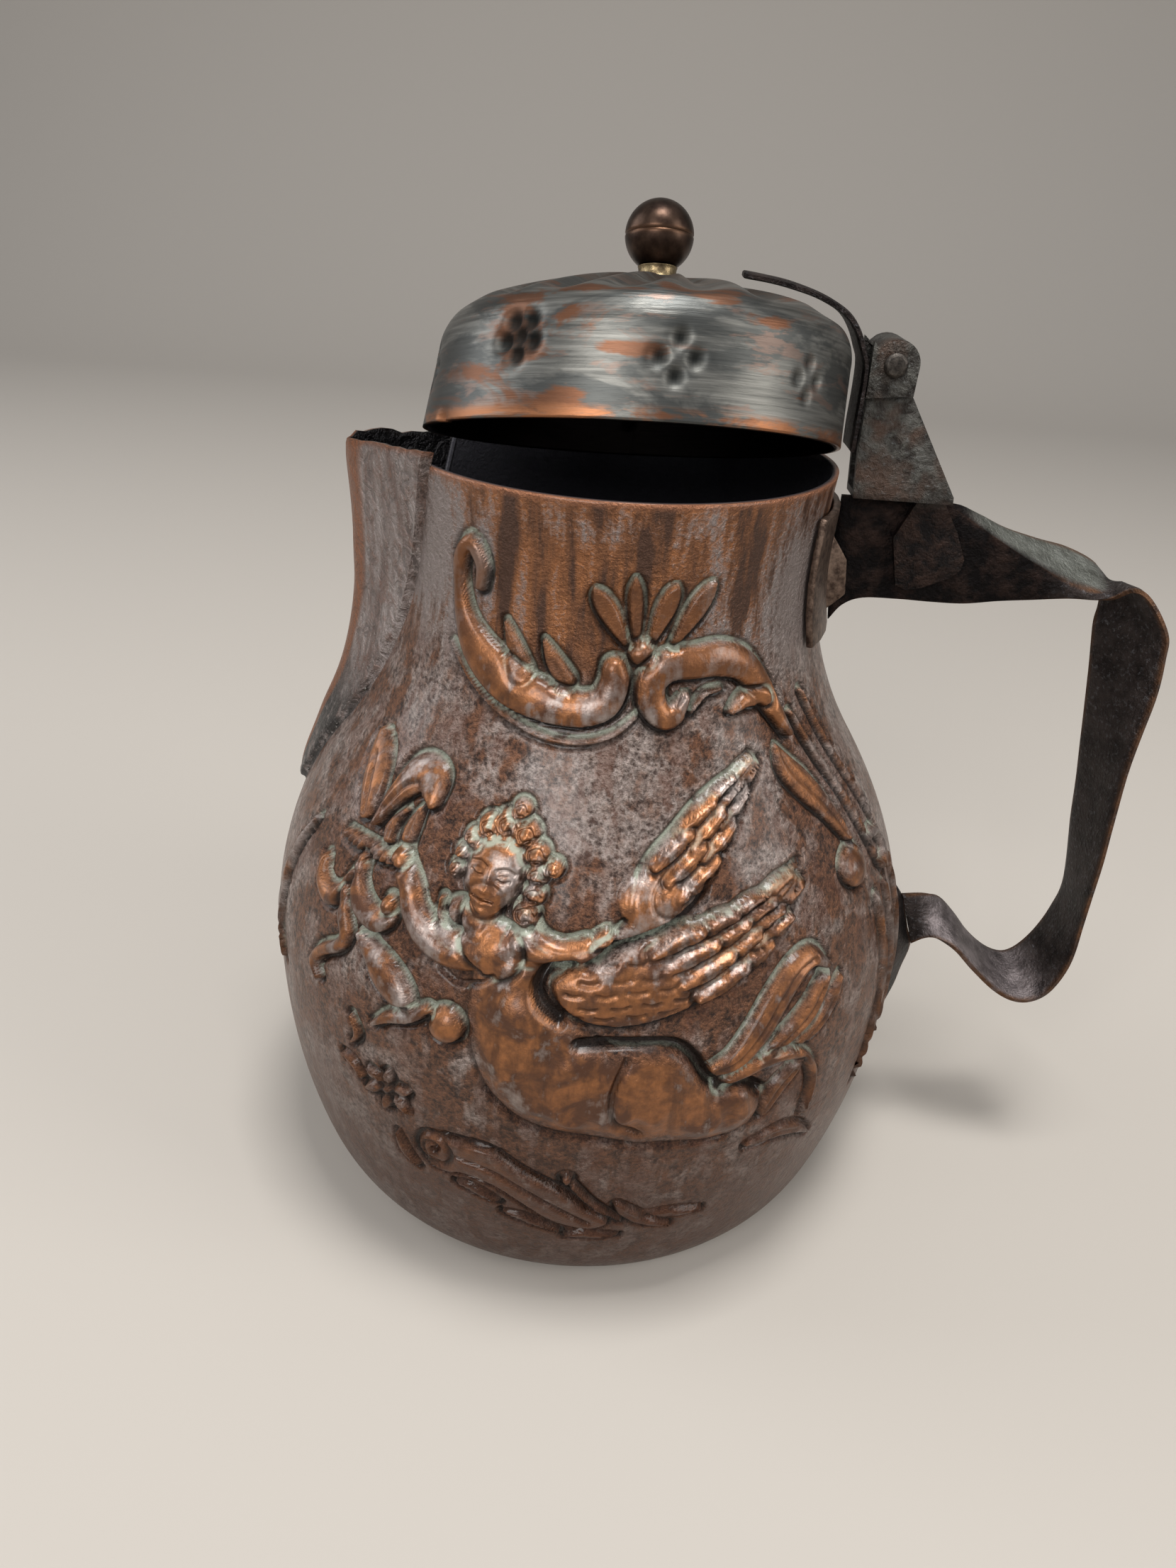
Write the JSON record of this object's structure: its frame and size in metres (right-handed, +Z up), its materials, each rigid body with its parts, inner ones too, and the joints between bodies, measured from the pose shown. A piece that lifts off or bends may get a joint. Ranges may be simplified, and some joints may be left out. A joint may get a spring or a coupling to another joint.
{
  "type": "lidded_jug",
  "caption": "Small lidded copper jug with a repousse belly, folded V beak, folded strap handle, hinged fluted cap lid and ball knob",
  "frame": {"origin": "centre of the flat base on the floor", "axes": "+Z up, +X to the handle, the beak at -X, seen in the picture from -Y"},
  "size_m": [0.1564, 0.123, 0.1757],
  "materials": {
    "body_copper": "polished",
    "beak_copper": "satin",
    "collar_brass": "satin",
    "handle_copper": "satin",
    "foot_copper": "satin",
    "hinge_copper": "satin",
    "pin_brass": "satin",
    "lid_silvered": "brushed",
    "stem_brass": "satin",
    "knob_bronze": "satin"
  },
  "bodies": {
    "jug": {"body": "body_copper", "beak": "beak_copper", "neck_collar": "collar_brass", "handle_strap": "handle_copper", "handle_foot": "foot_copper", "hinge_post": "hinge_copper", "hinge_pin": "pin_brass"},
    "lid": {"lid": "lid_silvered", "lid_strap": "lid_silvered", "lid_knuckle": "hinge_copper", "knob_stem": "stem_brass", "knob_lower": "knob_bronze", "knob_upper": "knob_bronze", "knob_washer": "stem_brass"}
  },
  "joints": [
    {"name": "lid_hinge", "type": "hinge", "parent": "jug", "child": "lid", "pos_m": [0.0418, 0, 0.1548], "axis": [0, 1, 0], "range_deg": [0, 100]}
  ]
}
